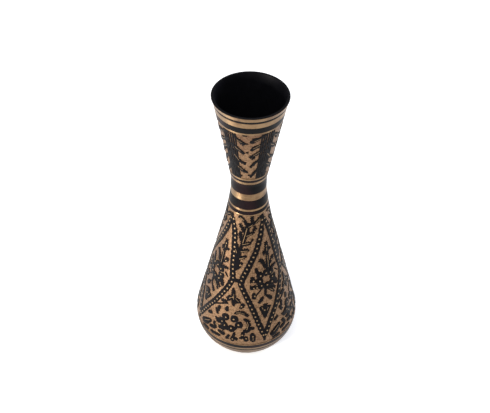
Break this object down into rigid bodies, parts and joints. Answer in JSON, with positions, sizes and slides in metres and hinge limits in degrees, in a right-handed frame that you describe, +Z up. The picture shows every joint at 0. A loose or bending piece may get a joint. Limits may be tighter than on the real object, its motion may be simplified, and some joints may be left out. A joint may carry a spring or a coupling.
{
  "type": "engraved brass flower vase",
  "caption": "Tall spun brass vase with a flared mouth, narrow neck and low pear-shaped belly, decorated with black lac bands and raised lac foliage on a chased ground.",
  "frame": {"origin": "centre of the foot, on the surface that the vase stands on", "axes": "+Z up along the vase's axis; -Y is the side between two leaning diamonds that faces the viewer"},
  "size_m": [0.0666, 0.0666, 0.2],
  "materials": {
    "brass_chased": "chased and stippled",
    "brass_turned": "lathe turned, satin",
    "solder": "dull soft solder",
    "lac_coat": "satin black lac",
    "lac_band": "polished black lac",
    "lac_relief": "satin black lac with cut edges"
  },
  "bodies": {
    "root": {"mouth_funnel": "brass_chased", "body_shell": "brass_chased", "base_pan": "brass_turned", "neck_solder": "solder", "base_solder": "solder", "mouth_lining": "lac_coat", "lip_line": "lac_band", "mouth_band": "lac_band", "neck_line": "lac_band", "neck_band": "lac_band", "shoulder_band": "lac_band", "shoulder_line": "lac_band", "belly_line": "lac_band", "foot_line": "lac_band", "mouth_stems": "lac_relief", "mouth_leaves": "lac_relief", "lattice_straps": "lac_relief", "fern_sprays": "lac_relief", "diamond_flowers": "lac_relief", "belly_flowers": "lac_relief"}
  },
  "joints": []
}
